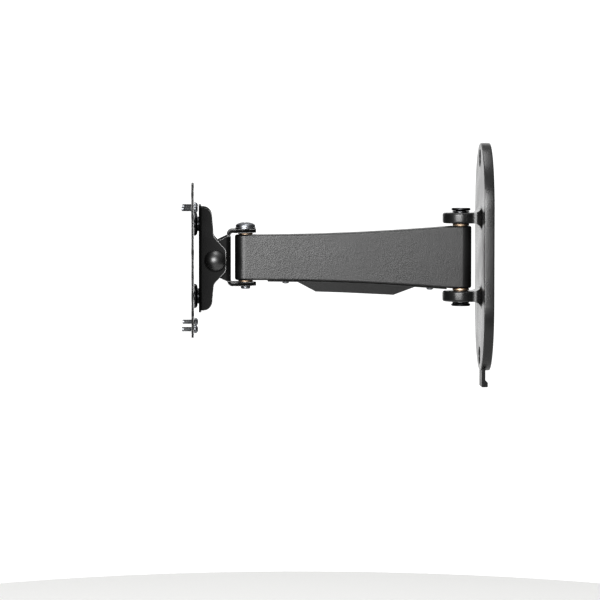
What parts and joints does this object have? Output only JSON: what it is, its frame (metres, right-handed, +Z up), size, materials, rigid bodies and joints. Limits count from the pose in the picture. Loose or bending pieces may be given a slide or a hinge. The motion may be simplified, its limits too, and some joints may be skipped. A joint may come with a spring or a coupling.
{
  "type": "full motion tv wall mount",
  "caption": "Single-arm wall mount for a small flat screen: wall plate with ears, tapered swivel arm with a cable cover, swivel knuckle, and a tilting head with a square screen plate.",
  "frame": {"origin": "middle of the wall plate's flat back face, on the arm's centre line", "axes": "+Z up; +Y into the wall, so the screen is on the -Y side; +X to the side of the mount that the picture shows"},
  "size_m": [0.127, 0.2616, 0.2075],
  "materials": {
    "powder_black_cast": "satin black powder coat on a casting",
    "powder_black_arm": "fine-textured satin black powder coat on the arm",
    "powder_black_sheet": "smooth satin black powder coat on bent steel sheet",
    "black_plastic": "moulded black plastic, satin",
    "blacked_steel": "blacked steel fasteners with a dull sheen",
    "bronze": "sintered bronze",
    "bright_steel": "zinc-plated steel",
    "nylon": "natural nylon"
  },
  "bodies": {
    "wall_plate": {"wall_plate": "powder_black_cast", "cable_hook": "black_plastic", "wall_pivot_pin": "blacked_steel", "wall_pin_collar": "blacked_steel", "ear_bush_upper": "blacked_steel", "ear_bush_lower": "blacked_steel"},
    "arm": {"arm_body": "powder_black_arm", "arm_bush_wall_upper": "bronze", "arm_bush_wall_lower": "bronze", "arm_bush_head_upper": "bronze", "arm_bush_head_lower": "bronze", "cable_cover": "black_plastic", "cover_screw_wall": "blacked_steel", "cover_screw_head": "blacked_steel"},
    "knuckle": {"knuckle_bracket": "powder_black_sheet", "head_pivot_bolt": "blacked_steel", "head_bolt_washer": "blacked_steel", "tilt_spacer": "bright_steel"},
    "tilt_head": {"tilt_bracket": "powder_black_sheet", "tilt_bolt": "bright_steel", "tilt_nut": "bright_steel", "tilt_spring_washer": "bright_steel", "tilt_washer_near": "nylon", "tilt_washer_far": "nylon", "tilt_cap_near": "black_plastic", "tilt_cap_far": "black_plastic", "adapter_plate": "powder_black_sheet", "plate_stud_1": "blacked_steel", "screen_screw_1": "blacked_steel", "plate_stud_2": "blacked_steel", "screen_screw_2": "blacked_steel", "plate_stud_3": "blacked_steel", "screen_screw_3": "blacked_steel", "plate_stud_4": "blacked_steel", "screen_screw_4": "blacked_steel"}
  },
  "joints": [
    {"name": "wall_swivel", "type": "hinge", "parent": "wall_plate", "child": "arm", "pos_m": [0, -0.0246, 0], "axis": [0, 0, 1], "range_deg": [-90, 90]},
    {"name": "head_swivel", "type": "hinge", "parent": "arm", "child": "knuckle", "pos_m": [0, -0.2078, 0], "axis": [0, 0, 1], "range_deg": [-90, 90]},
    {"name": "tilt", "type": "hinge", "parent": "knuckle", "child": "tilt_head", "pos_m": [0, -0.2339, -0.0017], "axis": [1, 0, 0], "range_deg": [-5, 15]}
  ]
}
